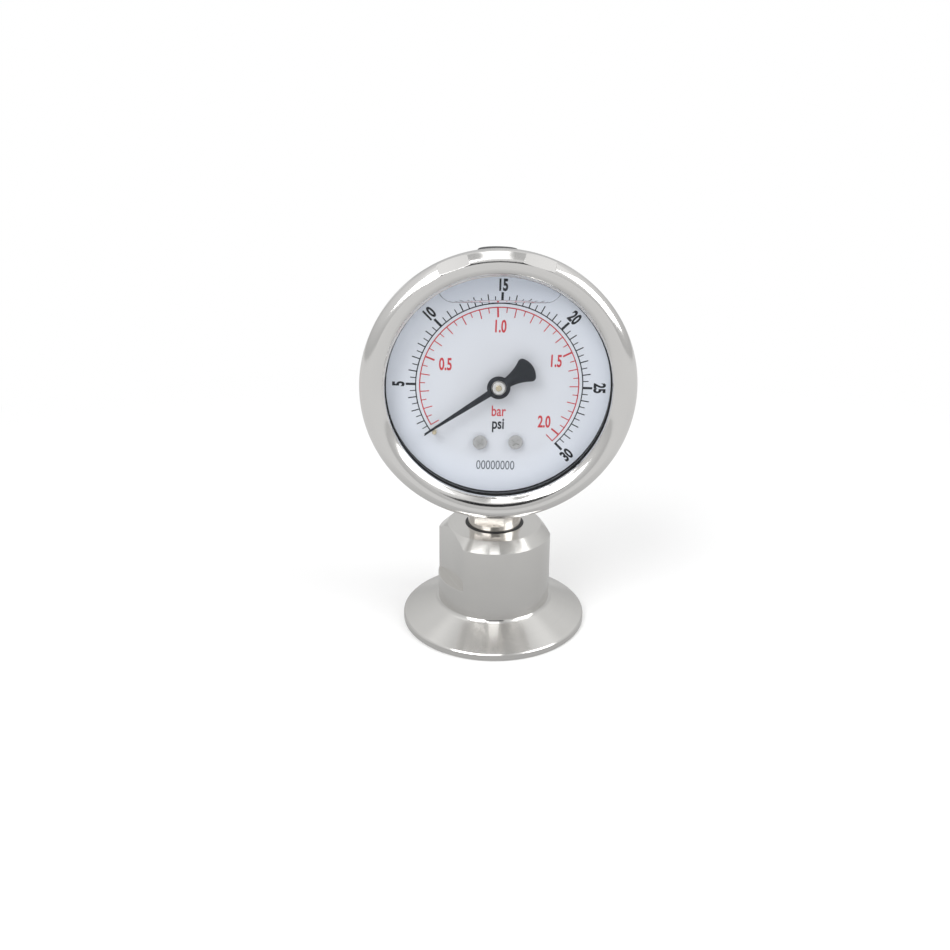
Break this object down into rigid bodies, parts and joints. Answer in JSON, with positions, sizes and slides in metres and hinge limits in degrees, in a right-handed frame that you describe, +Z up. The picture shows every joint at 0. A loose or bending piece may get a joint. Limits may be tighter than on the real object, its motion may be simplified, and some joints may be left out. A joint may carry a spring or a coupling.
{
  "type": "pressure gauge",
  "caption": "Round liquid-filled dial pressure gauge with a bottom stem on a turned clamp-flange diaphragm seal.",
  "frame": {"origin": "centre of the clamp flange at its flat sealing face", "axes": "+Z up the stem, dial faces -Y, +X to the right of a reader who faces the dial"},
  "size_m": [0.0682, 0.0506, 0.1049],
  "materials": {
    "housing_steel": "satin turned stainless steel",
    "stem_steel": "turned and milled stainless steel",
    "case_steel": "drawn stainless steel, satin",
    "bezel_steel": "polished stainless steel",
    "diaphragm_foil": "rolled stainless foil",
    "tube_steel": "drawn stainless tube",
    "copper_seal": "soft copper",
    "brass_parts": "machined brass",
    "spring_bronze": "rolled bronze strip",
    "bright_screw": "nickel-plated",
    "bright_hub": "turned, bright",
    "dial_white": "satin white enamel",
    "pointer_black": "matte black",
    "black_rubber": "moulded",
    "window_clear": "clear polished"
  },
  "bodies": {
    "root": {"seal_housing": "housing_steel", "diaphragm": "diaphragm_foil", "diaphragm_ring": "housing_steel", "thread_washer": "copper_seal", "neck_seal": "black_rubber", "gauge_stem": "stem_steel", "restrictor": "brass_parts", "case_seal": "black_rubber", "gauge_case": "case_steel", "fill_plug": "black_rubber", "bezel": "bezel_steel", "window": "window_clear", "window_gasket": "black_rubber", "dial_plate": "dial_white", "dial_screws": "bright_screw", "stop_pin": "brass_parts", "movement_front_plate": "brass_parts", "movement_back_plate": "brass_parts", "movement_pillars": "brass_parts", "movement_screws": "bright_screw", "hairspring": "spring_bronze", "hairspring_stud": "brass_parts", "bourdon_tube": "tube_steel", "tube_tip": "stem_steel"},
    "pointer_set": {"pinion_arbor": "brass_parts", "pointer_hub": "bright_hub", "pointer": "pointer_black", "hairspring_collet": "brass_parts"},
    "sector_set": {"sector_gear": "brass_parts", "sector_arbor": "brass_parts"},
    "link_set": {"link": "brass_parts", "link_pins": "bright_screw"}
  },
  "joints": [
    {"name": "sector_swing", "type": "hinge", "parent": "root", "child": "sector_set", "pos_m": [0, -0.0057, 0.05575], "axis": [0, -1, 0], "range_deg": [0, 24], "stiffness_Nm_per_rad": 0.02},
    {"name": "pointer_sweep", "type": "hinge", "parent": "root", "child": "pointer_set", "pos_m": [0, -0.01, 0.07075], "axis": [0, 1, 0], "range_deg": [0, 264]},
    {"name": "link_turn", "type": "hinge", "parent": "sector_set", "child": "link_set", "pos_m": [0.00783, -0.0064, 0.05409], "axis": [0, 1, 0], "range_deg": [0, 24]}
  ],
  "couplings": [
    {"joint": "pointer_sweep", "follows": "sector_swing", "ratio": 11},
    {"joint": "link_turn", "follows": "sector_swing", "ratio": 1}
  ]
}
